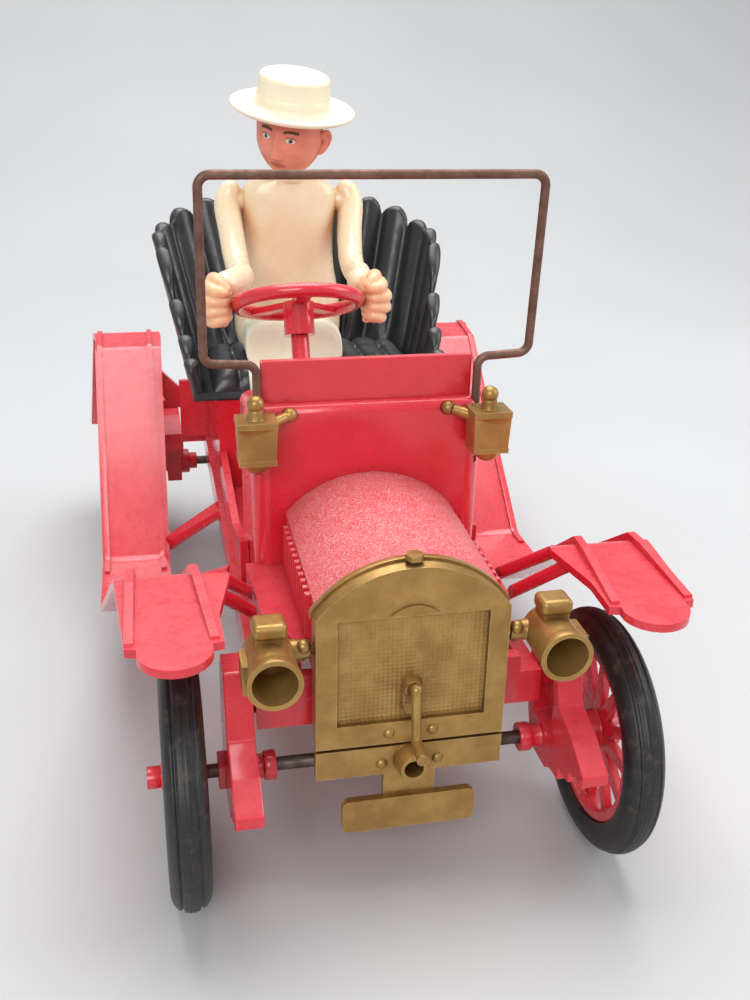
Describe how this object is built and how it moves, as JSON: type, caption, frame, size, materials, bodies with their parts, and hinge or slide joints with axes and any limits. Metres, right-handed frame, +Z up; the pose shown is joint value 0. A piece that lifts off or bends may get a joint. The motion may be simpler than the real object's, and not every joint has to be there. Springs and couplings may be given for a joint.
{
  "type": "friction toy car",
  "caption": "Open toy tourer with driver, bent-wire windscreen, spoked wheels with rubber tyres and a geared flywheel motor on the rear axle.",
  "frame": {"origin": "on the ground, under the middle of the whole car's bounding box", "axes": "+Z up, front of the car faces -Y, +X is the car's own left side"},
  "size_m": [0.1454, 0.252, 0.1675],
  "materials": {
    "red_plastic": "moulded red plastic, semi-gloss, slightly dusty",
    "gold_paint": "worn dull gold paint on plastic, brown in the hollows",
    "wire": "steel wire with light brown tarnish",
    "steel": "plain steel",
    "nylon": "natural nylon",
    "dark_steel": "dark oiled steel",
    "seat_black": "black plastic with a soft sheen",
    "coat": "ivory plastic, matte",
    "trousers": "off-white plastic, matte",
    "skin": "flesh-coloured plastic, matte",
    "straw": "pale straw-coloured plastic, matte",
    "tyre_rubber": "black rubber, scuffed"
  },
  "bodies": {
    "car": {"body_tub": "red_plastic", "chassis_frame": "red_plastic", "cowl_lamp_left": "gold_paint", "cowl_lamp_right": "gold_paint", "dash_panel": "red_plastic", "driver_legs": "trousers", "driver_torso": "coat", "dumb_iron_left": "red_plastic", "dumb_iron_right": "red_plastic", "fender_left": "red_plastic", "fender_right": "red_plastic", "front_apron": "gold_paint", "headlamp_left": "gold_paint", "headlamp_right": "gold_paint", "hood": "red_plastic", "motor_plate_left": "steel", "motor_plate_right": "steel", "motor_screws": "steel", "motor_spacers": "steel", "radiator_cap": "gold_paint", "radiator_grille": "gold_paint", "radiator_rivets": "gold_paint", "radiator_shell": "gold_paint", "rear_spring_left": "red_plastic", "rear_spring_right": "red_plastic", "seat_cushion": "seat_black", "seat_shell": "seat_black", "steering_column": "red_plastic", "windscreen_frame": "wire"},
    "front_wheels": {"front_axle": "steel", "front_wheel_left": "red_plastic", "front_wheel_right": "red_plastic", "front_tyre_left": "tyre_rubber", "front_tyre_right": "tyre_rubber", "front_hub_caps": "red_plastic"},
    "rear_wheels": {"rear_axle": "steel", "axle_gear": "nylon", "rear_wheel_left": "red_plastic", "rear_wheel_right": "red_plastic", "rear_tyre_left": "tyre_rubber", "rear_tyre_right": "tyre_rubber", "rear_hub_caps": "red_plastic"},
    "idler": {"idler_shaft": "steel", "idler_gear": "nylon"},
    "flywheel_set": {"flywheel_pinion": "dark_steel", "flywheel": "dark_steel"},
    "crank": {"crank_handle": "gold_paint"},
    "steering": {"steering_wheel": "red_plastic"},
    "head": {"driver_head": "skin", "driver_hat": "straw"},
    "arm_left": {"driver_arm_left": "coat"},
    "arm_right": {"driver_arm_right": "coat"}
  },
  "joints": [
    {"name": "front_axle_spin", "type": "hinge", "parent": "car", "child": "front_wheels", "pos_m": [0, -0.098, 0.028], "axis": [1, 0, 0], "continuous": true},
    {"name": "rear_axle_spin", "type": "hinge", "parent": "car", "child": "rear_wheels", "pos_m": [0, 0.089, 0.028], "axis": [1, 0, 0], "continuous": true},
    {"name": "idler_spin", "type": "hinge", "parent": "car", "child": "idler", "pos_m": [0, 0.074, 0.028], "axis": [1, 0, 0], "continuous": true},
    {"name": "flywheel_spin", "type": "hinge", "parent": "car", "child": "flywheel_set", "pos_m": [0, 0.059, 0.028], "axis": [1, 0, 0], "continuous": true},
    {"name": "crank_turn", "type": "hinge", "parent": "car", "child": "crank", "pos_m": [0, -0.108, 0.0505], "axis": [0, 1, 0], "continuous": true},
    {"name": "steering_turn", "type": "hinge", "parent": "car", "child": "steering", "pos_m": [-0.0106, -0.018, 0.1105], "axis": [0, 0.4067, 0.9135], "range_deg": [-15, 15]},
    {"name": "head_turn", "type": "hinge", "parent": "car", "child": "head", "pos_m": [-0.007, 0.02, 0.138], "axis": [0, 0, 1], "range_deg": [-35, 35]},
    {"name": "arm_left_swing", "type": "hinge", "parent": "car", "child": "arm_left", "pos_m": [0.0116, 0.024, 0.131], "axis": [-1, 0, 0], "range_deg": [0, 60]},
    {"name": "arm_right_swing", "type": "hinge", "parent": "car", "child": "arm_right", "pos_m": [-0.0256, 0.024, 0.131], "axis": [-1, 0, 0], "range_deg": [0, 60]}
  ],
  "couplings": [
    {"joint": "idler_spin", "follows": "flywheel_spin", "ratio": -0.25},
    {"joint": "rear_axle_spin", "follows": "flywheel_spin", "ratio": 0.0625}
  ]
}
